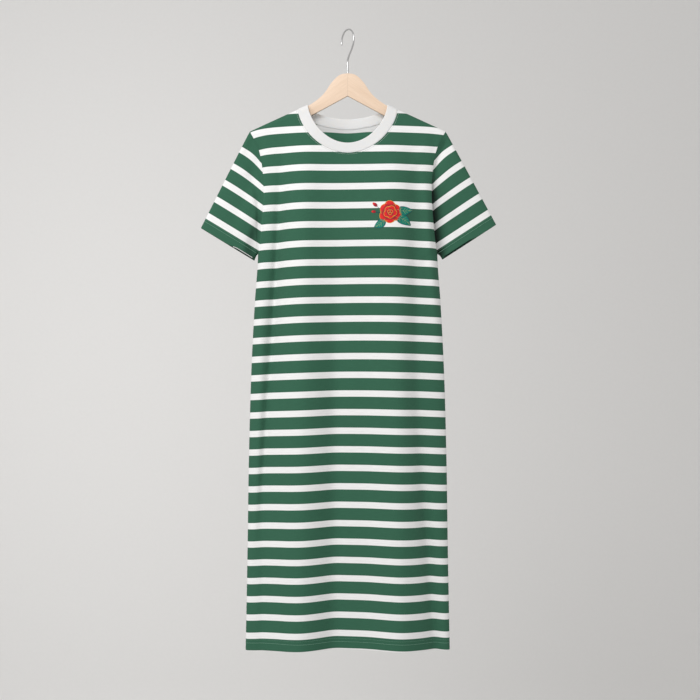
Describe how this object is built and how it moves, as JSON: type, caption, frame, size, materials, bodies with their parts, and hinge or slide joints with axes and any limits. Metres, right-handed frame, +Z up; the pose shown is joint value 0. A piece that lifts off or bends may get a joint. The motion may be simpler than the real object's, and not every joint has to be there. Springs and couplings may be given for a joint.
{
  "type": "t-shirt dress on a hanger",
  "caption": "Straight short-sleeved jersey dress with a rib neckband, hanging open from a wooden hanger with a wire hook.",
  "frame": {"origin": "top of the inside of the hook, where a rail carries the hanger", "axes": "+Z up along the dress, +X across it to the wearer's left, +Y from the front to the back"},
  "size_m": [0.6527, 0.1016, 1.3713],
  "materials": {
    "jersey": "striped cotton jersey, green with white",
    "rib": "white cotton rib",
    "hanger_wood": "pale beech, satin lacquer",
    "hook_steel": "bright plated wire",
    "embroidery": "satin-stitch thread",
    "sewing_thread": "polyester sewing thread"
  },
  "bodies": {
    "root": {"front": "jersey", "back": "jersey", "sleeve_left": "jersey", "sleeve_right": "jersey", "neckband": "rib", "hanger_arm_left": "hanger_wood", "hanger_arm_right": "hanger_wood", "hanger_hook": "hook_steel"}
  },
  "joints": []
}
